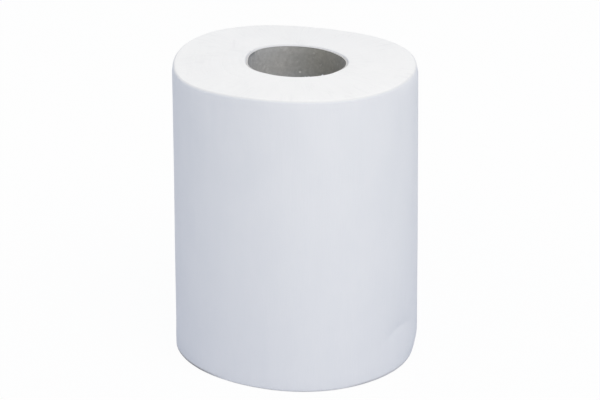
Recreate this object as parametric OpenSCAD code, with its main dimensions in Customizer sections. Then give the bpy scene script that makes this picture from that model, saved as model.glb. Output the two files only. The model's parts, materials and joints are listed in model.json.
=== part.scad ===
// Wound paper towel roll, standing on its end, with the cardboard core that it is wound on.
// The origin is on the axis of the core, in the plane that the roll stands on.
// +Z is up, and -Y is the side that faces the viewer.

/* [Roll] */
// Width of the paper web, which is the height of the standing roll
roll_h = 210; // [150:1:300]
// Outer diameter of the wound paper, measured across the tail of the sheet
roll_d = 175; // [120:1:260]
// Radius of the soft outer edge at each end
shoulder_r = 1.5; // [0.5:0.1:5]
// Radius of the paper's edge round the hole at each end
lip_r = 1.2; // [0.3:0.1:2]

/* [Sheet] */
// Thickness of the loose two-ply sheet, which is the step at its tail
sheet_t = 0.4; // [0.2:0.05:1]
// Direction in which the tail's edge lies, in degrees from +X towards the back
tail_angle = 110; // [0:1:359]

/* [Turn lines on the ends] */
// Number of turns that show as lines on each end
turn_count = 7; // [4:1:20]
// Width of the line between two turns
turn_line_w = 0.9; // [0.3:0.1:1.5]
// Depth of the line between two turns
turn_line_d = 0.35; // [0.1:0.05:0.6]
// Plain paper between the turn lines and the rounded edges
turn_margin = 1.2; // [0.5:0.1:4]

/* [Core] */
// Bore of the cardboard core
core_bore_d = 70; // [38:1:90]
// Wall of the cardboard core
core_wall = 1.2; // [0.8:0.1:4]
// Depth of each end of the core below the paper
core_recess = 1; // [0:0.1:4]

/* [Hidden] */
$fn = 160;
paper_color = [0.94, 0.95, 0.97];
board_color = [0.46, 0.45, 0.43];

// The paper is wound straight on the core, so one radius serves both
core_r = core_bore_d / 2 + core_wall;
// Radius of the roll just past the tail's edge, where the last turn isn't counted yet
under_tail_r = (roll_d - sheet_t) / 2;
// The spiral of turn lines runs from just outside the hole's lip to just inside the shoulder
first_line_r = core_r + lip_r + turn_margin + turn_line_w / 2;
last_line_r = under_tail_r - shoulder_r - turn_margin - turn_line_w / 2;
turn_pitch = (last_line_r - first_line_r) / turn_count;
// The round ring next to the core and the spiral ring outside it overlap in the middle
middle_r = (core_r + under_tail_r) / 2;
ring_lap = 1;
// Flats that make up each rounded edge in section
corner_steps = 2;

// One turn of a spiral, from +X anticlockwise: the children's section is swept half a turn about
// the axis, and then half a turn about an axis moved by half the growth, which joins its end
module spiral_turn(growth) {
    rotate_extrude(angle = 180, start = 0)
        children();
    translate([growth / 2, 0, 0])
        rotate_extrude(angle = 180, start = 180)
            translate([growth / 2, 0])
                children();
}

// Upright strip from x = 0 out to its width, with the two far corners rounded
module rounded_strip(width, corner_r) {
    corner_x = width - corner_r;
    step_a = 90 / corner_steps;
    lower = [for (a = [-90 : step_a : 0]) [corner_x, corner_r] + corner_r * [cos(a), sin(a)]];
    upper = [for (a = [0 : step_a : 90]) [corner_x, roll_h - corner_r] + corner_r * [cos(a), sin(a)]];
    polygon(concat([[0, 0]], lower, upper, [[0, roll_h]]));
}

// Section of the outer turns, rounded at the shoulders
module outer_section() {
    translate([middle_r, 0])
        rounded_strip(under_tail_r - middle_r, shoulder_r);
}

// Section of the inner turns, rounded round the hole
module inner_section() {
    translate([middle_r + ring_lap, 0])
        mirror([1, 0])
            rounded_strip(middle_r + ring_lap - core_r, lip_r);
}

// Lines between the turns, cut into the plane z = 0 from above
module turn_lines() {
    for (turn = [0 : turn_count - 1])
        spiral_turn(turn_pitch)
            translate([first_line_r + turn * turn_pitch, 0])
                polygon([[0, -turn_line_d], [turn_line_w, turn_line_d], [-turn_line_w, turn_line_d]]);
}

// All the turns of the sheet as one solid, with the step of its tail down the outside
module wound_paper() {
    color(paper_color)
        rotate(tail_angle)
            difference() {
                union() {
                    rotate_extrude()
                        inner_section();
                    spiral_turn(sheet_t)
                        outer_section();
                }
                translate([0, 0, roll_h])
                    turn_lines();
                mirror([0, 0, 1])
                    turn_lines();
            }
}

// Plain tube, glued up from spiral plies of board
module core() {
    color(board_color)
        translate([0, 0, core_recess])
            rotate_extrude()
                translate([core_bore_d / 2, 0])
                    square([core_wall, roll_h - 2 * core_recess]);
}

wound_paper();
core();
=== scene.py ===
"""Looks of a roll of paper towel: the wound sheet with its loose tail, and the board core.

Lengths are in metres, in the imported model's own frame: the origin is on the core's axis in the plane
that the roll stands on, +Z is up and -Y is the viewer's side. Angles on the roll are in degrees from
+X towards +Y. What is in millimetres instead has a comment that says so. Tones are linear red, green
and blue.
"""

import json
import math

import bpy
import numpy as np
from mathutils import Matrix, Vector, noise


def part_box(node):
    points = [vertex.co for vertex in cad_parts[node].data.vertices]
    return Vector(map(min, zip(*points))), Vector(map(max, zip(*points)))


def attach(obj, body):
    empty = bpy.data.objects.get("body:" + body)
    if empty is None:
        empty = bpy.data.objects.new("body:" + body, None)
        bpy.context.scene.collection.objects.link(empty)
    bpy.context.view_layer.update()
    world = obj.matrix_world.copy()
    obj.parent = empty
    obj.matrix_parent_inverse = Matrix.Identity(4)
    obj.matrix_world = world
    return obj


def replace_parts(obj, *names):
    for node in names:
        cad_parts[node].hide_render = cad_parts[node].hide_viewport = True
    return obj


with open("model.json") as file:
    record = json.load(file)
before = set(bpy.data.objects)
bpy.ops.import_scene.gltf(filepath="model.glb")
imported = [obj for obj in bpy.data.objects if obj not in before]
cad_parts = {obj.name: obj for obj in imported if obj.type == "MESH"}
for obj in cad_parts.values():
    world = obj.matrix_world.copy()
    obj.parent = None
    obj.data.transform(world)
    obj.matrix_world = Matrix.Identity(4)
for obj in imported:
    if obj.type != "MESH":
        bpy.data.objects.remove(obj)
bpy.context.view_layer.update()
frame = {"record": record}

MM = 0.001

# Sizes of the roll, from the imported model
PAPER_LOW, PAPER_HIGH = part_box("wound_paper")
CORE_LOW, CORE_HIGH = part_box("core")
BORE = next(m for m in frame["record"]["mounts"] if m["name"] == "core_bore")
ROLL_H = PAPER_HIGH.z
ROLL_R = (PAPER_HIGH.x - PAPER_LOW.x) / 2
CORE_R = CORE_HIGH.x
BORE_R = BORE["dims"]["r_mm"] * MM
CORE_END_Z = CORE_HIGH.z
CORE_START_Z = CORE_LOW.z

# Sheet, as in the solid model
SHEET_T = 0.0004
TAIL_ANGLE = 110
SHOULDER_R = 0.0015
LIP_R = 0.0012
# The end faces are true circles up to this radius, where the shoulders start
END_R = ROLL_R - SHEET_T - SHOULDER_R

# Loose tail of the sheet: its last stretch, from the glue line on, which lifts off the roll a little
TAIL_L = 0.032
GLUE_ANGLE = TAIL_ANGLE - math.degrees(TAIL_L / ROLL_R)
TAIL_LIFT = 0.0007
# Its small waves: how high they are, how long up the roll, and where their noise starts
TAIL_WAVE = 0.0005
TAIL_WAVE_L = 0.035
TAIL_WAVE_START = 11
# It is all loose up to this share of the roll's height, and lies flat from the second one on
LOOSE_TO = 0.55
FLAT_FROM = 0.90
# It starts to lift at this share of its length and hangs straight down from the second one on
LIFT_FROM = 0.15
STRAIGHT_FROM = 0.5
# Its loose rims draw in by this much, and its lower corner lifts more, up to this share of the height
TAIL_DRAW = 0.0005
CORNER_LIFT = 2 * TAIL_LIFT
CORNER_TO = 0.3
# Gap under the tail where it lies flat, and its rim's place across the shoulder
TAIL_GAP = 0.00004
TAIL_RIM_SHARE = 0.1

# Tufts of torn fibre on the hole's upper lip: the angle of each, and how many fibres it has
TUFTS = ((-60, 36), (-76, 9), (-79, 9), (18, 12), (151, 12))
TUFT_SPREAD = 0.0007
TUFT_SEED = 7
FIBRE_L = 0.0015
FIBRE_R = 0.00008
FIBRE_RINGS = 5
FIBRE_SIDES = 3
# Shares of a fibre's length that it goes inwards, upwards, more or less steeply, and to a side
FIBRE_IN = 0.35
FIBRE_UP = 0.75
FIBRE_STEEPER = 0.2
FIBRE_LEAN = 0.4
# Shares that its tip is bent up or down, and back
FIBRE_CURL = 0.4
FIBRE_BACK = 0.1

# Relief of the side. A row gives its height in millimetres, the size of its features round the roll and
# up it, and where up the roll its noise starts: the flutes, finer flutes and wide hollows
SIDE_RELIEFS = ((0.18, 0.012, 0.16, 0), (0.10, 0.005, 0.08, 7), (0.35, 0.07, 0.09, 3))

# Small crease low in the side, nearly level: its middle's angle, half length in degrees, height and
# depth, how far its slopes reach, how round its bottom is, and how much lower its ends lie
CREASE_ANGLE = -33
CREASE_SPAN = 13
CREASE_Z = 0.0315
CREASE_D = 0.0013
CREASE_REACH = 0.006
CREASE_ROUND = 0.0008
CREASE_SAG = 0.0045

# Relief of the ends: turns that stand proud or lie low, radial marks of the saw and a wide swell, with
# the height of each and the size of its features. For the marks that is their number in a radian, and
# how long they are
BAND_H = 0.03 * MM
BAND_WIDTH = 0.0022
BAND_L = 0.09
FAN_H = 0.06 * MM
FAN_COUNT = 11
FAN_L = 0.02
SWELL_H = 0.2 * MM
SWELL_WIDTH = 0.05
# Over this distance it fades in from the shoulder and from the hole's lip
END_FADE = 0.002
# Where in their noise the two ends' reliefs start
UPPER_END_START = 1.5
LOWER_END_START = 9.5

# Nick in the upper end, along Y: its middle, half width, half length and depth
NICK_AT = (-0.0433, 0.0362)
NICK_WIDTH = 0.0010
NICK_L = 0.011
NICK_D = 0.00030

# Spiral of turn lines on the ends, as in the solid model but softer, and fainter in some patches
TURN_COUNT = 7
FIRST_LINE_R = CORE_R + 0.00285
LAST_LINE_R = ROLL_R - 0.00335
TURN_PITCH = (LAST_LINE_R - FIRST_LINE_R) / TURN_COUNT
TURN_LINE_W = 0.0009
TURN_LINE_D = 0.00008
LINE_STRENGTH = 0.75
LINE_CHANGE = 0.5
LINE_PATCH = 0.03

# The soft roll isn't quite round or level. A wave runs round it, and its row here gives how many
# crests it has, how high they are in millimetres and the angle of one crest. The first row is the mean.
RADIUS_WAVES = ((0, -0.2, 0), (1, 0.4, 160), (2, 2.3, 112), (3, 0.35, 49), (4, 0.5, 16), (5, 0.3, -12))
RIM_WAVES = ((0, -0.8, 0), (1, 0.95, 141), (2, 0.95, -53), (3, 1.15, 18))
CORE_END_WAVES = ((0, 0.48, 0), (1, 1.11, 171))
# How much larger its radius is at the foot than at the top
FLARE = 0.0012
# In places its rims are tucked in, over about these heights: angle, half width in degrees, and
# millimetres in
FOOT_TUCKS = ((-11, 17, 2.35), (205, 15, 0.35))
FOOT_TUCK_H = 0.0083
HEAD_TUCKS = ((2, 16, 1.1), (-25, 14, 0.9), (186, 24, 0.9))
HEAD_TUCK_H = 0.003
# The cut edges of the turns stand out a little at the upper rim, and a soft fold runs round the foot
RIM_SPREAD = 0.00012
RIM_SPREAD_H = 0.006
FOOT_FOLD = 0.0002
FOOT_FOLD_Z = 0.007
# Dents and bulges of the core near its upper end: angle, half width in degrees, and millimetres out
CORE_DENTS = ((178, 24, -2.1), (126, 20, 0.8), (116, 24, 0.75), (38, 20, -0.6), (235, 12, -0.5),
              (325, 12, -0.5))
DENT_REACH = 0.07

# Mesh of the paper
COLUMNS = 360
TAIL_COLUMNS = 20
UPPER_RINGS = 100
LOWER_RINGS = 36
# Rings of the side, closer together below this height, where the crease is
LOW_SIDE_RINGS = 48
HIGH_SIDE_RINGS = 34
LOW_SIDE_Z = 0.065
SHOULDER_STEPS = 8
LIP_STEPS = 5
# Rings of the hole's wall where the core is dented, and the hair's gap that the wall leaves round it
DENTED_RINGS = 14
CORE_GAP = 0.00004

# Mesh of the core
CORE_COLUMNS = 240
CORE_RINGS = 80
CORE_EDGE_R = 0.00025
CORE_EDGE_RINGS = 4

# Edges sharper than this aren't smoothed over
SHARP_ANGLE = math.radians(50)

# Tissue. A noise's scale is its features in a metre, and rays are features in a radian round the roll
CREPE_SCALE = (1100, 1100, 90)
FELT_SCALE = (2600, 2600, 2600)
CLOUD_SCALE = (45, 45, 25)
STREAK_RAYS = (42, 42, 42)
STREAK_SCALE = (30, 30, 30)
PLY_SCALE = 1500
NIP_RAYS = (14, 14, 14)
NIP_SCALE = (25, 25, 25)
NIP_PATCH_SCALE = (35, 35, 35)
NIP_START = (3.7, 1.9, 0.0)
# How far from its mean the noise is at a nip's edge, and where the patches with nips start and are full
NIP_WIDTH = 0.035
NIP_PATCHES = (0.42, 0.60)
# Tones of the side and of the ends, and what veils them. A veil gives the values of its noise where it
# starts and where it is full, its share there and its tone
# The side is cooler and darker than the ends, partly in the creped face's own colour and partly as painted
# cool shade on the side
SIDE_TONE = (0.836, 0.850, 0.882)
CLOUD_VEIL = (0.30, 0.70, 1.0, (0.850, 0.862, 0.892))
CREPE_VEIL = (0.35, 0.75, 0.05, (0.70, 0.74, 0.80))
END_TONE = (0.912, 0.912, 0.910)
STREAK_VEIL = (0.35, 0.70, 0.35, (0.880, 0.880, 0.884))
PLY_VEIL = (0.35, 0.75, 0.12, (0.87, 0.871, 0.876))
NIP_TONE = (0.81, 0.81, 0.82)
NIP_SHARE = 0.3
# Painted shade in the nick, where the cut gathers shadow
NICK_SHADE_TONE = (0.870, 0.868, 0.874)
# How far out in the nick its painted shade starts to fade and is gone, as shares of its half width
# and length
NICK_FADE = (0.2, 1.6)
# The rounded edges, the shoulders and the hole's lips, are painted greyer as shade. Faces whose normals
# rise or fall this much are ends, or are edges
EDGE_SHADE_TONE = (0.70, 0.705, 0.72)
EDGE_SHADE_SHARE = 0.4
END_SLOPES = (0.55, 0.95)
EDGE_SLOPES = (0.20, 0.60)
PAST_EDGE_SLOPES = (0.90, 0.995)
# Painted contact shadow on the foot's rim, up to these heights: along X it fades out from the left,
# and in on the right
FOOT_SHADE_TONE = (0.31, 0.305, 0.305)
FOOT_SHADE_TOP = (0.0008, 0.0028)
LEFT_FOOT_SHADE_TO = (-0.071, -0.049)
RIGHT_FOOT_SHADE_FROM = (0.030, 0.045)
RIGHT_FOOT_SHADE_SHARE = 0.40
CREPE_BUMP = 0.00006
END_BUMP = 0.00008
FELT_BUMP = 0.00003
TISSUE_ROUGHNESS = 0.95
TISSUE_SPECULAR = 0.15

# Board of the core, with scales and veils as above. The last veil, over the depth in the bore, is
# painted cool light deeper in the bore
PULP_SCALE = (420, 420, 420)
PULP_ROUGHNESS = 0.65
TINT_SCALE = (110, 110, 110)
SPECK_SCALE = (900, 900, 900)
BOARD_TONE = (0.470, 0.464, 0.454)
PULP_VEIL = (0.25, 0.75, 1.0, (0.635, 0.629, 0.623))
TINT_VEIL = (0.35, 0.65, 0.5, (0.496, 0.499, 0.494))
DEPTH_COOL_LIGHT_VEIL = (0.014, 0.032, 0.6, (0.51, 0.56, 0.63))
# Marks in the bore. A fleck has its angle in degrees, its depth under the upper end and how pale it is.
# A patch has its angle, its depth, how far it goes at its full tone and at all, and the tone. The first
# is painted shade on the bore's right wall, the second a cooler patch further round
FLECKS = ((85, 0.0191, 1.0), (68, 0.0045, 0.35), (60, 0.0128, 0.25))
FLECK_REACH = (0.0005, 0.0011)
FLECK_TONE = (0.80, 0.79, 0.77)
FLECK_SHARE = 0.7
BORE_SHADE_AND_TINT = ((42, 0.010, 0.008, 0.050, (0.76, 0.73, 0.65)), (76, 0.016, 0.004, 0.022, (0.90, 0.92, 0.95)))
# Values of their noise where the specks that lie all over the board start and are full
SPECK_RANGE = (0.74, 0.80)
# The board's strip climbs this far in one turn. Its seam starts this share of a turn round, and its
# line is the second share of a turn wide
SEAM_LEAD = 0.080
SEAM_START = 0.55
SEAM_WIDTH = 0.004
SEAM_TONE = (0.30, 0.29, 0.28)
SEAM_SHARE = 0.5
CUT_TONE = (0.645, 0.64, 0.635)
CUT_SHARE = 0.8
CUT_SLOPES = (0.5, 0.9)
BOARD_BUMP = 0.00010
BOARD_ROUGHNESS = 0.9
BOARD_SPECULAR = 0.2

# Camera, fitted to the outlines of the roll in the photograph. Its lens and sensor are in millimetres
CAMERA_TARGET = Vector((0.00256, 0, 0.10753))
CAMERA_DISTANCE = 1.8713
CAMERA_ELEVATION = math.radians(20.39)
CAMERA_ROLL = math.radians(-0.343)
CAMERA_LENS = 159.4
CAMERA_REACH = 100
SENSOR_W = 36

# Floor, which is painted greyer close to the roll, as shade round its foot
FLOOR_SIDE = 20
FLOOR_NEAR_SHADE_TONE = (0.675, 0.69, 0.74)
FLOOR_FAR_TONE = (0.85, 0.85, 0.85)
FLOOR_NEAR_R = 0.12
FLOOR_FAR_R = 0.50
WHITE = (1, 1, 1)
# Share of plain white in what the camera sees of the floor, whose rest keeps the shadow. Less is white
# in the narrow gap under the rim, down to the second share. A point lies there if less than this share
# of the space round it is open over this distance
FLOOR_WHITE = 0.96
GAP_WHITE = 0.45
GAP_OPENNESS = 0.25
GAP_REACH = 0.003
GAP_SAMPLES = 16

# Sky, from the horizon to overhead, and the shares of its light that come from the right and the left,
# between these places along X
SKY_LOW = (0.547, 0.588, 0.672)
SKY_HIGH = (0.725, 0.745, 0.785)
SKY_RIGHT = (0.43, 0.50, 0.61)
SKY_RIGHT_RANGE = (0.2, 1.0)
SKY_LEFT = (0.842, 0.850, 0.870)
SKY_LEFT_RANGE = (-0.8, -0.1)

# Lamp, turned to the right by its azimuth from the viewer's side
KEY_AZIMUTH = math.radians(31)
KEY_ELEVATION = math.radians(58)
KEY_DISTANCE = 2.6
KEY_SIZE = 1.67
KEY_POWER = 32.9
KEY_TONE = (1.0, 0.93, 0.80)


def smooth(x):
    """Smooth step from 0 to 1 as x goes from 0 to 1."""
    x = np.clip(x, 0, 1)
    return x * x * (3 - 2 * x)


def soft_noise(x, y, z):
    """Smooth noise from about -1 to 1 at arrays of coordinates, with features about 1 unit apart."""
    x, y, z = np.broadcast_arrays(x, y, z)
    values = [noise.noise(Vector(p)) for p in zip(x.ravel(), y.ravel(), z.ravel())]
    return np.array(values).reshape(x.shape)


def flat(radius, angle):
    """X and Y of a place round the axis."""
    return radius * np.cos(np.radians(angle)), radius * np.sin(np.radians(angle))


def apart(angle, centre):
    """Degrees from centre to an angle, the short way round."""
    return np.mod(angle - centre + 180, 360) - 180


def waves(rows, angle):
    """Sum of the waves that run round the roll, at an angle."""
    return MM * sum(size * np.cos(order * np.radians(angle - crest)) for order, size, crest in rows)


def humps(rows, angle):
    """Sum of smooth humps round the roll, at an angle."""
    return MM * sum(size * np.exp(-(apart(angle, centre) / width) ** 2) for centre, width, size in rows)


def core_dents(angle, z):
    """How far the core's wall is pushed out."""
    return humps(CORE_DENTS, angle) * smooth(1 - (ROLL_H - z) / DENT_REACH)


def outer_spread(angle, z):
    """How far the outside stands out from the plain cylinder."""
    from_top = ROLL_H - z
    tucked = humps(FOOT_TUCKS, angle) * np.exp(-(z / FOOT_TUCK_H) ** 2)
    tucked = tucked + humps(HEAD_TUCKS, angle) * np.exp(-(from_top / HEAD_TUCK_H) ** 2)
    rim = RIM_SPREAD * smooth(1 - from_top / RIM_SPREAD_H)
    fold = FOOT_FOLD * np.exp(-((z - FOOT_FOLD_Z) / FOOT_FOLD_Z) ** 2)
    return waves(RADIUS_WAVES, angle) + FLARE * (0.5 - z / ROLL_H) + rim + fold - tucked


def place(radius, angle, z):
    """Points of the soft roll from polar places on the plain one: the changes at the core and at the
    outside fade into each other."""
    share = np.clip((radius - CORE_R) / (ROLL_R - CORE_R), 0, 1)
    moved = radius + share * outer_spread(angle, z) + (1 - share) * core_dents(angle, z)
    rise = share * waves(RIM_WAVES, angle) + (1 - share) * waves(CORE_END_WAVES, angle)
    x, y = flat(moved, angle)
    return np.stack([x, y, z * (1 + rise / ROLL_H)], axis=-1)


def crease(angle, z):
    """Depth of the small crease low on the right side: a narrow valley that fades at its ends."""
    along = apart(angle, CREASE_ANGLE) / CREASE_SPAN
    off_valley = np.hypot(z - CREASE_Z + CREASE_SAG * along**2, CREASE_ROUND)
    return CREASE_D * np.exp(-along**2 - off_valley / CREASE_REACH)


def side_relief(angle, z):
    """How far the side stands out: soft flutes along the roll, wide hollows and a small crease."""
    x, y = flat(ROLL_R, angle)
    relief = 0
    for height, across, along, start in SIDE_RELIEFS:
        relief = relief + height * MM * soft_noise(x / across, y / across, z / along + start)
    return relief - crease(angle, z)


def turn_groove(radius, angle):
    """Depth of the spiral line between turns at a place on an end."""
    turned = np.mod(angle - TAIL_ANGLE, 360) / 360
    turn = (radius - FIRST_LINE_R) / TURN_PITCH - turned
    nearest = np.clip(np.round(turn), 0, TURN_COUNT - 1)
    distance = np.abs(turn - nearest) * TURN_PITCH
    groove = 0.5 + 0.5 * np.cos(np.pi * np.clip(distance / TURN_LINE_W, 0, 1))
    x, y = flat(radius, angle)
    strength = LINE_STRENGTH + LINE_CHANGE * soft_noise(x / LINE_PATCH, y / LINE_PATCH, 0.5)
    return TURN_LINE_D * strength * groove


def end_relief(radius, angle, start):
    """Height of an end face: turns that stand proud or lie low, and the saw's faint radial marks."""
    x, y = flat(radius, angle)
    bands = BAND_H * soft_noise(radius / BAND_WIDTH, x / BAND_L, y / BAND_L + start)
    fans = FAN_H * soft_noise(FAN_COUNT * x / radius, FAN_COUNT * y / radius + start, radius / FAN_L)
    swell = SWELL_H * soft_noise(x / SWELL_WIDTH, y / SWELL_WIDTH, start)
    inside = smooth((END_R - radius) / END_FADE) * smooth((radius - CORE_R - LIP_R) / END_FADE)
    return (bands + fans + swell - turn_groove(radius, angle)) * inside


def nick(radius, angle):
    """Depth of the nick at a place on the upper end."""
    x, y = flat(radius, angle)
    x = x - NICK_AT[0]
    y = y - NICK_AT[1]
    return NICK_D * np.exp(-(x / NICK_WIDTH) ** 2 - (y / NICK_L) ** 2)


def spiral_r(turn):
    """Radius of the outermost turn, where turn goes from 0 at the glue line to 1 once round."""
    return ROLL_R - SHEET_T / 2 + SHEET_T * (turn - (TAIL_ANGLE - GLUE_ANGLE) / 360)


def quarter(steps):
    """Angles that go in equal steps up to a right angle, without the first one, at 0."""
    return np.radians(90 * np.arange(1, steps + 1) / steps)


def end_skin():
    """Grid of the skin that has no step: from the upper shoulder in over the end, down the hole's wall
    and out over the lower end. Rows go along that way and columns round the roll."""
    angle = GLUE_ANGLE + 360 * np.arange(COLUMNS) / COLUMNS
    lip_out = CORE_R + LIP_R
    arc = quarter(LIP_STEPS)
    lip_r = lip_out - (LIP_R - CORE_GAP) * np.sin(arc)
    lip_drop = LIP_R * (1 - np.cos(arc))
    upper_r = np.linspace(END_R, lip_out, UPPER_RINGS)
    wall_r = np.full(DENTED_RINGS, CORE_R + CORE_GAP)
    lower_r = np.linspace(lip_out, END_R, LOWER_RINGS)
    wall_z = np.linspace(ROLL_H - LIP_R, ROLL_H - DENT_REACH, DENTED_RINGS + 1)[1:]
    radius = np.concatenate([upper_r, lip_r, wall_r, lip_r[::-1], lower_r])
    level = np.concatenate([np.full(UPPER_RINGS, ROLL_H), ROLL_H - lip_drop, wall_z,
                            lip_drop[::-1], np.zeros(LOWER_RINGS)])
    radius, angle = np.meshgrid(radius, angle, indexing="ij")
    z = np.repeat(level[:, None], COLUMNS, axis=1)
    upper = slice(0, UPPER_RINGS)
    z[upper] += end_relief(radius[upper], angle[upper], UPPER_END_START) - nick(radius[upper], angle[upper])
    # The relief of the lower end only rises from the floor, and ends at the shoulder
    lower = slice(-LOWER_RINGS, None)
    relief = end_relief(radius[lower], angle[lower], LOWER_END_START)
    z[lower] += relief.max() - relief
    z[lower] *= smooth((END_R - radius[lower]) / END_FADE)
    return place(radius, angle, z)


def shoulder_profile():
    """Shares of the shoulder's width and heights up the side, from above the lower end's rim to
    below the upper end's rim."""
    arc = quarter(SHOULDER_STEPS)
    low_side_z = np.linspace(SHOULDER_R, LOW_SIDE_Z, LOW_SIDE_RINGS)[1:]
    high_side_z = np.linspace(LOW_SIDE_Z, ROLL_H - SHOULDER_R, HIGH_SIDE_RINGS)[1:-1]
    side_z = np.concatenate([low_side_z, high_side_z])
    low_z = SHOULDER_R * (1 - np.cos(arc))
    share = np.concatenate([np.sin(arc), np.ones(len(side_z)), np.sin(arc)[::-1]])
    return share, np.concatenate([low_z, side_z, ROLL_H - low_z[::-1]])


def side_skin(angle, outer_r):
    """Grid of the skin from the lower shoulder up the side to the upper shoulder, without the rims.
    Rows go up and columns go round."""
    share, height = shoulder_profile()
    z = np.repeat(height[:, None], len(angle), axis=1)
    radius = END_R + share[:, None] * (outer_r - END_R)[None, :]
    relief = side_relief(angle[None, :], z) * share[:, None] ** 2
    return place(radius + relief, angle[None, :], z)


def tail_sheet(thickness):
    """Grid of one face of the loose tail, from just past the glue line to its edge. It lies flat near
    the upper end, and lower down it leaves the shoulder's curve and hangs straight."""
    share, height = shoulder_profile()
    share = np.concatenate([[TAIL_RIM_SHARE], share, [TAIL_RIM_SHARE]])
    height = np.concatenate([[0], height, [ROLL_H]])
    along = np.arange(1, TAIL_COLUMNS + 1) / TAIL_COLUMNS
    angle = GLUE_ANGLE + along * (TAIL_ANGLE - GLUE_ANGLE)
    loose = 1 - smooth((height / ROLL_H - LOOSE_TO) / (FLAT_FROM - LOOSE_TO))[:, None]
    straight = smooth(along / STRAIGHT_FROM)[None, :] * loose
    share = share[:, None] * (1 - straight) + straight
    drawn_z = TAIL_DRAW + height * (1 - 2 * TAIL_DRAW / ROLL_H)
    z = height[:, None] + (drawn_z - height)[:, None] * straight**2
    wave = soft_noise(0, along[None, :] / 2, z / TAIL_WAVE_L + TAIL_WAVE_START)
    corner = smooth(1 - z / (CORNER_TO * ROLL_H))
    lift = TAIL_LIFT + TAIL_WAVE * wave + CORNER_LIFT * corner
    lift = TAIL_GAP + lift * loose * smooth((along[None, :] - LIFT_FROM) / (1 - LIFT_FROM))
    under = spiral_r(along * (TAIL_ANGLE - GLUE_ANGLE) / 360)[None, :]
    radius = END_R + share * (under + thickness - END_R)
    relief = side_relief(angle[None, :], z) * share**2
    return place(radius + relief + lift, angle[None, :], z)


def numbered(grids):
    """Vertex numbers of grids whose points follow each other in one list."""
    counts = [grid.shape[0] * grid.shape[1] for grid in grids]
    starts = np.cumsum([0, *counts[:-1]])
    return [start + np.arange(count).reshape(grid.shape[:2])
            for grid, start, count in zip(grids, starts, counts)]


def quads(first, second):
    """Faces between two rows of vertex numbers of the same length."""
    first, second = first.tolist(), second.tolist()
    return [(a, b, d, c) for a, b, c, d in zip(first, first[1:], second, second[1:])]


def row_quads(rows):
    """Faces between each row of vertex numbers and the next."""
    return [face for first, second in zip(rows, rows[1:]) for face in quads(first, second)]


def flipped(faces):
    """The same faces, turned the other way."""
    return [face[::-1] for face in faces]


def tail_faces(outer, inner):
    """Faces of the loose tail, from the vertex numbers of its two sides. Both have the glue line as
    their first column, and meet in one point at each end of it."""
    faces = row_quads(outer) + flipped(row_quads(inner)) + quads(inner[:, -1], outer[:, -1])
    low_rim = [(outer[0, 0], outer[0, 1], inner[0, 1])] + quads(outer[0, 1:], inner[0, 1:])
    high_rim = [(outer[-1, 0], outer[-1, 1], inner[-1, 1])] + quads(outer[-1, 1:], inner[-1, 1:])
    return faces + flipped(low_rim) + high_rim


def wound_paper():
    """The wound sheet as one closed skin with its loose tail: its points and faces."""
    turns = np.arange(COLUMNS + 1) / COLUMNS
    side_grid = side_skin(GLUE_ANGLE + 360 * turns, spiral_r(turns))
    grids = (end_skin(), side_grid, tail_sheet(SHEET_T), tail_sheet(0))
    points = np.concatenate([grid.reshape(-1, 3) for grid in grids])
    end, side, outer, inner = numbered(grids)
    ring = np.concatenate([end, end[:, :1]], axis=1)
    low_rim, high_rim = ring[-1, :1], ring[0, :1]
    glue_outer = np.concatenate([low_rim, side[:, -1], high_rim])
    glue_inner = np.concatenate([low_rim, side[:, 0], high_rim])
    outer = np.concatenate([glue_outer[:, None], outer], axis=1)
    inner = np.concatenate([glue_inner[:, None], inner], axis=1)
    faces = row_quads([*side, *ring, side[0]]) + tail_faces(outer, inner)
    return points, faces


def core_tube():
    """The core as a tube with softened rims: its points and faces."""
    arc = np.radians(np.linspace(0, 90, CORE_EDGE_RINGS))
    rim_out = CORE_EDGE_R * (1 - np.sin(arc))
    rim_up = CORE_EDGE_R * (1 - np.cos(arc))
    wall_z = np.linspace(CORE_END_Z - CORE_EDGE_R, CORE_START_Z + CORE_EDGE_R, CORE_RINGS)
    inner_r = np.concatenate([BORE_R + rim_out[::-1], np.full(CORE_RINGS - 2, BORE_R), BORE_R + rim_out])
    inner_z = np.concatenate([CORE_END_Z - rim_up, wall_z[1:-1], CORE_START_Z + rim_up[::-1]])
    outer_r = CORE_R - (inner_r - BORE_R)
    radius = np.concatenate([inner_r, outer_r[::-1]])
    z = np.concatenate([inner_z, inner_z[::-1]])
    angle = 360 * np.arange(CORE_COLUMNS) / CORE_COLUMNS
    radius, angle = np.meshgrid(radius, angle, indexing="ij")
    z = np.repeat(z[:, None], CORE_COLUMNS, axis=1)
    points = place(radius, angle, z).reshape(-1, 3)
    rows = np.arange(len(points)).reshape(radius.shape)
    rows = np.concatenate([rows, rows[:, :1]], axis=1)
    rows = np.concatenate([rows, rows[:1]], axis=0)
    return points, row_quads(rows)


def fibre(root, along, bend):
    """A tapered bent fibre with flat sides: its points and faces, numbered from 0."""
    across = along.cross(bend).normalized()
    third = along.cross(across).normalized()
    points = []
    for step in range(FIBRE_RINGS):
        way = step / FIBRE_RINGS
        middle = root + along * way + bend * way**2
        for side in range(FIBRE_SIDES):
            turn = 2 * math.pi * side / FIBRE_SIDES
            points.append(middle + (across * math.cos(turn) + third * math.sin(turn)) * FIBRE_R * (1 - way))
    tip = len(points)
    last_ring = tip - FIBRE_SIDES
    points.append(root + along + bend)
    faces = [tuple(reversed(range(FIBRE_SIDES)))]
    for ring in range(0, last_ring, FIBRE_SIDES):
        for side in range(FIBRE_SIDES):
            here = ring + side
            after = ring + (side + 1) % FIBRE_SIDES
            faces.append((here, after, after + FIBRE_SIDES, here + FIBRE_SIDES))
    faces += [(last_ring + side, last_ring + (side + 1) % FIBRE_SIDES, tip) for side in range(FIBRE_SIDES)]
    return points, faces


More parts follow.
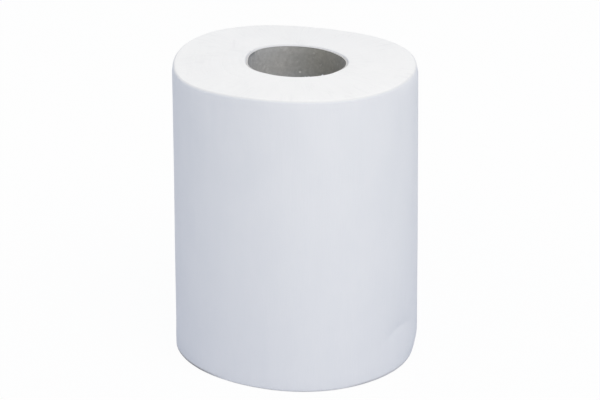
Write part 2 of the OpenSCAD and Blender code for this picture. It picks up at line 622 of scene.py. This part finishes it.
def tufts():
    """The little tufts of torn fibre on the upper lip of the hole: their points and faces."""
    random = np.random.default_rng(TUFT_SEED)
    points, faces = [], []
    upwards = Vector((0, 0, 1))
    # The fibres grow half way round the lip's curve, from just under its surface
    down_lip = LIP_R * (1 - math.sqrt(0.5)) + FIBRE_R
    for angle, fibres in TUFTS:
        inwards = -Vector((*flat(1, angle), 0))
        sideways = inwards.cross(upwards)
        middle = Vector(place(np.array(CORE_R + down_lip), np.array(angle), np.array(ROLL_H - down_lip)))
        for _ in range(fibres):
            shift, lean, steeper, curl = random.uniform(-1, 1, 4)
            length = FIBRE_L * random.uniform(0.5, 1)
            root = middle + sideways * shift * TUFT_SPREAD
            along = inwards * FIBRE_IN + upwards * (FIBRE_UP + FIBRE_STEEPER * steeper)
            along = (along + sideways * FIBRE_LEAN * lean) * length
            bend = (upwards * FIBRE_CURL * curl - inwards * FIBRE_BACK) * length
            fibre_points, fibre_faces = fibre(root, along, bend)
            faces += [tuple(len(points) + corner for corner in face) for face in fibre_faces]
            points += fibre_points
    return np.array(points), faces


def make_piece(name, shape, material):
    """A piece of the roll from its points and faces."""
    points, faces = shape
    mesh = bpy.data.meshes.new(name)
    mesh.from_pydata(points.tolist(), [], faces)
    mesh.shade_smooth()
    mesh.set_sharp_from_angle(angle=SHARP_ANGLE)
    mesh.materials.append(material)
    piece = bpy.data.objects.new(name, mesh)
    bpy.context.scene.collection.objects.link(piece)
    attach(piece, "root")
    return piece


class Tree:
    """A node tree, with short calls that add a node and return what the next one needs. A colour is
    given as its three shares of light."""

    def __init__(self, tree):
        self.nodes = tree.nodes
        self.links = tree.links
        self.nodes.clear()

    def add(self, kind, inputs=(), **settings):
        """A new node. inputs maps a socket's name or number to a value or to another node's socket."""
        node = self.nodes.new(kind)
        for name, value in settings.items():
            setattr(node, name, value)
        for name, value in dict(inputs).items():
            socket = node.inputs[name]
            if isinstance(value, bpy.types.NodeSocket):
                self.links.new(value, socket)
            else:
                socket.default_value = (*value, 1.0) if socket.type == "RGBA" else value
        return node

    def math(self, operation, a, b=0.0):
        return self.add("ShaderNodeMath", {0: a, 1: b}, operation=operation).outputs[0]

    def vector(self, operation, a, b=(0, 0, 0)):
        return self.add("ShaderNodeVectorMath", {0: a, 1: b}, operation=operation).outputs["Vector"]

    def length(self, vector):
        return self.add("ShaderNodeVectorMath", {0: vector}, operation="LENGTH").outputs["Value"]

    def parts(self, vector):
        """X, Y and Z of a vector, by their names."""
        return self.add("ShaderNodeSeparateXYZ", {0: vector}).outputs

    def noise(self, vector, scale, detail=2.0, roughness=0.5):
        """Noise from 0 to 1, with scale features in a unit of the vector."""
        at = self.vector("MULTIPLY", vector, scale)
        return self.unit_noise(at, detail, roughness)

    def unit_noise(self, vector, detail=2.0, roughness=0.5):
        """Noise from 0 to 1, with features about one unit of the vector apart."""
        inputs = {"Vector": vector, "Scale": 1.0, "Detail": detail, "Roughness": roughness}
        return self.add("ShaderNodeTexNoise", inputs).outputs["Fac"]

    def remap(self, value, low, high, to_low=0.0, to_high=1.0):
        """value taken smoothly from low..high to to_low..to_high."""
        inputs = {"Value": value, "From Min": low, "From Max": high, "To Min": to_low, "To Max": to_high}
        return self.add("ShaderNodeMapRange", inputs, interpolation_type="SMOOTHSTEP").outputs["Result"]

    def mix(self, share, a, b, blend="MIX"):
        """Colour a with share of colour b. A Mix node's colours are its sockets 6, 7 and, out of it, 2."""
        node = self.add("ShaderNodeMix", {0: share, 6: a, 7: b}, data_type="RGBA", blend_type=blend)
        return node.outputs[2]

    def veil(self, tone, value, veil):
        """tone under a veil, whose share grows with a value."""
        low, high, share, veil_tone = veil
        return self.mix(self.remap(value, low, high, 0.0, share), tone, veil_tone)

    def bump(self, height, distance, normal=None):
        inputs = {"Height": height, "Distance": distance, "Strength": 1.0}
        if normal is not None:
            inputs["Normal"] = normal
        return self.add("ShaderNodeBump", inputs).outputs["Normal"]


def new_material(name):
    """A new material, its node tree, and the place of the point to shade."""
    material = bpy.data.materials.new(name)
    material.use_nodes = True
    tree = Tree(material.node_tree)
    return material, tree, tree.add("ShaderNodeTexCoord").outputs["Object"]


def rise_of_normal(tree):
    """How much the surface faces up, from -1 to 1."""
    return tree.parts(tree.add("ShaderNodeNewGeometry").outputs["Normal"])["Z"]


def matt_surface(tree, tone, roughness, specular, normal):
    """The last nodes of a material, for a dull surface."""
    shader = tree.add("ShaderNodeBsdfPrincipled", {
        "Base Color": tone,
        "Roughness": roughness,
        "Specular IOR Level": specular,
        "Normal": normal,
    })
    tree.add("ShaderNodeOutputMaterial", {"Surface": shader.outputs[0]})


def radial_nips(tree, direction, flat_at):
    """Thin radial marks on the ends, where the turns are nipped: 1 along their middles."""
    at = tree.vector("ADD", tree.vector("MULTIPLY", direction, NIP_RAYS),
                     tree.vector("MULTIPLY", flat_at, NIP_SCALE))
    at = tree.vector("ADD", at, NIP_START)
    wander = tree.math("SUBTRACT", tree.unit_noise(at, detail=1.0), 0.5)
    line = tree.remap(tree.math("ABSOLUTE", wander), 0.0, NIP_WIDTH, 1.0, 0.0)
    patches = tree.remap(tree.noise(flat_at, NIP_PATCH_SCALE), *NIP_PATCHES)
    return tree.math("MULTIPLY", line, patches)


def radial_streaks(tree, direction, flat_at):
    """Soft radial streaks on the ends."""
    at = tree.vector("ADD", tree.vector("MULTIPLY", direction, STREAK_RAYS),
                     tree.vector("MULTIPLY", flat_at, STREAK_SCALE))
    return tree.unit_noise(at, detail=3.0)


def fine_plies(tree, flat_at):
    """The fine rings of the turns' cut edges."""
    inputs = {"W": tree.math("MULTIPLY", tree.length(flat_at), PLY_SCALE), "Detail": 2.0}
    return tree.add("ShaderNodeTexNoise", inputs, noise_dimensions="1D").outputs["Fac"]


def painted_nick_shade(tree, place_at):
    """Share of the painted shade in the nick in the upper end: 1 along its middle, 0 from its edge on."""
    # The height counts too, so that the lower end has none
    offset = tree.vector("SUBTRACT", place_at, (*NICK_AT, ROLL_H))
    scaled = tree.vector("MULTIPLY", offset, (1 / NICK_WIDTH, 1 / NICK_L, 2 / ROLL_H))
    return tree.remap(tree.length(scaled), *NICK_FADE, 1.0, 0.0)


def painted_foot_shade(tree, place_at):
    """Share of the painted contact shadow on the foot's rim: strong on the left and a little on the right.
    """
    parts = tree.parts(place_at)
    left = tree.remap(parts["X"], *LEFT_FOOT_SHADE_TO, 1.0, 0.0)
    right = tree.remap(parts["X"], *RIGHT_FOOT_SHADE_FROM, 0.0, RIGHT_FOOT_SHADE_SHARE)
    low = tree.remap(parts["Z"], *FOOT_SHADE_TOP, 1.0, 0.0)
    return tree.math("MULTIPLY", tree.math("MAXIMUM", left, right), low)


def paper_material():
    """Soft white tissue: a creped face on the side, cooler and darker than the ends partly in its own
    colour and partly as painted cool shade, the fuzzy cut edges of the turns on the ends, painted shade on
    the rounded edges between them and in the nick, and a painted contact shadow on the foot's rim."""
    material, tree, place_at = new_material("tissue")
    level = tree.math("ABSOLUTE", rise_of_normal(tree))
    on_end = tree.remap(level, *END_SLOPES)
    on_edge = tree.math("MULTIPLY", tree.remap(level, *EDGE_SLOPES),
                        tree.remap(level, *PAST_EDGE_SLOPES, 1.0, 0.0))

    flat_at = tree.vector("MULTIPLY", place_at, (1, 1, 0))
    direction = tree.vector("NORMALIZE", flat_at)
    crepe = tree.noise(place_at, CREPE_SCALE, detail=3.0)
    felt = tree.noise(place_at, FELT_SCALE, detail=3.0)
    cloud = tree.noise(place_at, CLOUD_SCALE, detail=3.0)
    streaks = radial_streaks(tree, direction, flat_at)
    plies = fine_plies(tree, flat_at)
    nips = radial_nips(tree, direction, flat_at)

    # The side's cooler, darker tone is partly painted shade
    side_tone = tree.veil(tree.veil(SIDE_TONE, cloud, CLOUD_VEIL), crepe, CREPE_VEIL)
    end_tone = tree.veil(tree.veil(END_TONE, streaks, STREAK_VEIL), plies, PLY_VEIL)
    end_tone = tree.mix(tree.math("MULTIPLY", nips, NIP_SHARE), end_tone, NIP_TONE)
    # Painted shade in the nick
    end_tone = tree.mix(painted_nick_shade(tree, place_at), end_tone, NICK_SHADE_TONE)
    tone = tree.mix(on_end, side_tone, end_tone)
    # Painted shade on the rounded edges
    tone = tree.mix(tree.math("MULTIPLY", on_edge, EDGE_SHADE_SHARE), tone, EDGE_SHADE_TONE)
    # Painted contact shadow on the foot's rim
    tone = tree.mix(painted_foot_shade(tree, place_at), tone, FOOT_SHADE_TONE)

    crepe_height = tree.math("MULTIPLY", crepe, tree.math("SUBTRACT", 1.0, on_end))
    end_height = tree.math("SUBTRACT", tree.math("ADD", streaks, plies), nips)
    bumped = tree.bump(crepe_height, CREPE_BUMP)
    bumped = tree.bump(tree.math("MULTIPLY", end_height, on_end), END_BUMP, bumped)
    bumped = tree.bump(felt, FELT_BUMP, bumped)
    matt_surface(tree, tone, TISSUE_ROUGHNESS, TISSUE_SPECULAR, bumped)
    return material


def near_point(tree, place_at, angle, depth, full_r, end_r):
    """1 within full_r of a place in the bore, at an angle and a depth under the top, to 0 at end_r."""
    offset = tree.vector("SUBTRACT", place_at, (*flat(BORE_R, angle), ROLL_H - depth))
    return tree.remap(tree.length(offset), full_r, end_r, 1.0, 0.0)


def ply_seam(tree, place_at):
    """1 along the seam between the turns of the board's strip, which winds up the core."""
    parts = tree.parts(place_at)
    turns = tree.math("DIVIDE", tree.math("ARCTAN2", parts["Y"], parts["X"]), 2 * math.pi)
    climb = tree.math("DIVIDE", parts["Z"], SEAM_LEAD)
    phase = tree.math("FRACT", tree.math("ADD", tree.math("SUBTRACT", climb, turns), SEAM_START))
    return tree.remap(tree.math("ABSOLUTE", tree.math("SUBTRACT", phase, 0.5)), 0.0, SEAM_WIDTH, 1.0, 0.0)


def all_flecks(tree, place_at):
    """How pale the flecks make the board: small specks all over it, and a few larger ones."""
    flecks = tree.remap(tree.noise(place_at, SPECK_SCALE, detail=1.0), *SPECK_RANGE)
    for angle, depth, paleness in FLECKS:
        fleck = near_point(tree, place_at, angle, depth, *FLECK_REACH)
        flecks = tree.math("MAXIMUM", flecks, tree.math("MULTIPLY", fleck, paleness))
    return flecks


def board_material():
    """Grey recycled board: mottled pulp with pale flecks, painted shade on the bore's right wall, a cooler
    patch, painted cool light deeper in the bore, the seam of its spiral strip, and rough paler cut ends."""
    material, tree, place_at = new_material("recycled_board")
    on_cut = tree.remap(tree.math("ABSOLUTE", rise_of_normal(tree)), *CUT_SLOPES)
    bore_depth = tree.math("SUBTRACT", ROLL_H, tree.parts(place_at)["Z"])
    pulp = tree.noise(place_at, PULP_SCALE, detail=4.0, roughness=PULP_ROUGHNESS)
    tint = tree.noise(place_at, TINT_SCALE)
    seam = ply_seam(tree, place_at)

    tone = tree.veil(BOARD_TONE, pulp, PULP_VEIL)
    tone = tree.veil(tone, tint, TINT_VEIL)
    # Painted cool light deeper in the bore
    tone = tree.veil(tone, bore_depth, DEPTH_COOL_LIGHT_VEIL)
    # Painted shade on the bore's right wall, and a cooler patch further round
    for angle, depth, full_r, end_r, bore_patch_tone in BORE_SHADE_AND_TINT:
        bore_patch = near_point(tree, place_at, angle, depth, full_r, end_r)
        tone = tree.mix(bore_patch, tone, bore_patch_tone, blend="MULTIPLY")
    tone = tree.mix(tree.math("MULTIPLY", all_flecks(tree, place_at), FLECK_SHARE), tone, FLECK_TONE)
    tone = tree.mix(tree.math("MULTIPLY", seam, SEAM_SHARE), tone, SEAM_TONE)
    tone = tree.mix(tree.math("MULTIPLY", on_cut, CUT_SHARE), tone, CUT_TONE)

    bumped = tree.bump(tree.math("SUBTRACT", pulp, seam), BOARD_BUMP)
    matt_surface(tree, tone, BOARD_ROUGHNESS, BOARD_SPECULAR, bumped)
    return material


def make_camera():
    """The camera at the photograph's angle, rolled a little about its line of sight."""
    back = Vector((0, -math.cos(CAMERA_ELEVATION), math.sin(CAMERA_ELEVATION)))
    right = Vector((1, 0, 0))
    up = back.cross(right)
    rolled_right = right * math.cos(CAMERA_ROLL) + up * math.sin(CAMERA_ROLL)
    rolled_up = up * math.cos(CAMERA_ROLL) - right * math.sin(CAMERA_ROLL)
    data = bpy.data.cameras.new("camera")
    data.sensor_width = SENSOR_W
    data.lens = CAMERA_LENS
    data.clip_end = CAMERA_REACH
    camera = bpy.data.objects.new("camera", data)
    turn = Matrix((rolled_right, rolled_up, back)).transposed().to_4x4()
    camera.matrix_world = Matrix.Translation(CAMERA_TARGET + back * CAMERA_DISTANCE) @ turn
    bpy.context.scene.collection.objects.link(camera)
    bpy.context.scene.camera = camera


def seen_directly(tree):
    """1 for rays from the camera, and for those that gloss or glass sends on, and 0 for others."""
    path = tree.add("ShaderNodeLightPath").outputs
    seen = tree.math("MAXIMUM", path["Is Camera Ray"], path["Is Glossy Ray"])
    return tree.math("MAXIMUM", seen, path["Is Transmission Ray"])


def floor_material():
    """A matt grey that lights the roll and keeps its shadow, and that the camera sees mostly as white."""
    material, tree, place_at = new_material("floor_white")
    away = tree.remap(tree.length(place_at), FLOOR_NEAR_R, FLOOR_FAR_R)
    # Painted shade on the floor near the roll, which dims the light it throws back on the roll's foot
    matt = tree.add("ShaderNodeBsdfDiffuse", {"Color": tree.mix(away, FLOOR_NEAR_SHADE_TONE, FLOOR_FAR_TONE)})
    white = tree.add("ShaderNodeEmission", {"Color": WHITE, "Strength": 1.0})
    occlusion = tree.add("ShaderNodeAmbientOcclusion", {"Distance": GAP_REACH}, samples=GAP_SAMPLES)
    white_share = tree.remap(occlusion.outputs["AO"], 0.0, GAP_OPENNESS, GAP_WHITE, FLOOR_WHITE)
    share = tree.math("MULTIPLY", seen_directly(tree), white_share)
    surface = tree.add("ShaderNodeMixShader", {0: share, 1: matt.outputs[0], 2: white.outputs[0]})
    tree.add("ShaderNodeOutputMaterial", {"Surface": surface.outputs[0]})
    return material


def make_floor():
    """A wide floor that the roll stands on."""
    half = FLOOR_SIDE / 2
    corners = [(-half, -half, 0), (half, -half, 0), (half, half, 0), (-half, half, 0)]
    mesh = bpy.data.meshes.new("floor")
    mesh.from_pydata(corners, [], [(0, 1, 2, 3)])
    mesh.materials.append(floor_material())
    floor = bpy.data.objects.new("floor", mesh)
    bpy.context.scene.collection.objects.link(floor)


def make_sky():
    """Soft cool light from all round, brighter overhead, that the camera sees as white."""
    world = bpy.data.worlds.new("studio")
    world.use_nodes = True
    bpy.context.scene.world = world
    tree = Tree(world.node_tree)
    parts = tree.parts(tree.add("ShaderNodeTexCoord").outputs["Generated"])
    tone = tree.mix(tree.remap(parts["Z"], 0.0, 1.0), SKY_LOW, SKY_HIGH)
    tone = tree.mix(tree.remap(parts["X"], *SKY_RIGHT_RANGE), tone, SKY_RIGHT, blend="MULTIPLY")
    tone = tree.mix(tree.remap(parts["X"], *SKY_LEFT_RANGE, 1.0, 0.0), tone, SKY_LEFT, blend="MULTIPLY")
    light = tree.add("ShaderNodeBackground", {"Color": tone, "Strength": 1.0}).outputs[0]
    white = tree.add("ShaderNodeBackground", {"Color": WHITE, "Strength": 1.0}).outputs[0]
    surface = tree.add("ShaderNodeMixShader", {0: seen_directly(tree), 1: light, 2: white})
    tree.add("ShaderNodeOutputWorld", {"Surface": surface.outputs[0]})


def make_key():
    """A large soft lamp high on the right, in front."""
    data = bpy.data.lights.new("key", "AREA")
    data.shape = "DISK"
    data.size = KEY_SIZE
    data.energy = KEY_POWER
    data.color = KEY_TONE
    lamp = bpy.data.objects.new("key", data)
    towards = Vector((
        math.sin(KEY_AZIMUTH) * math.cos(KEY_ELEVATION),
        -math.cos(KEY_AZIMUTH) * math.cos(KEY_ELEVATION),
        math.sin(KEY_ELEVATION),
    ))
    lamp.location = Vector((0, 0, ROLL_H / 2)) + towards * KEY_DISTANCE
    lamp.rotation_euler = towards.to_track_quat("Z", "Y").to_euler()
    bpy.context.scene.collection.objects.link(lamp)


make_camera()
make_floor()
make_sky()
make_key()
tissue = paper_material()
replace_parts(make_piece("wound_sheet", wound_paper(), tissue), "wound_paper")
make_piece("lip_tufts", tufts(), tissue)
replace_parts(make_piece("board_core", core_tube(), board_material()), "core")
bpy.context.scene.view_settings.view_transform = "Standard"
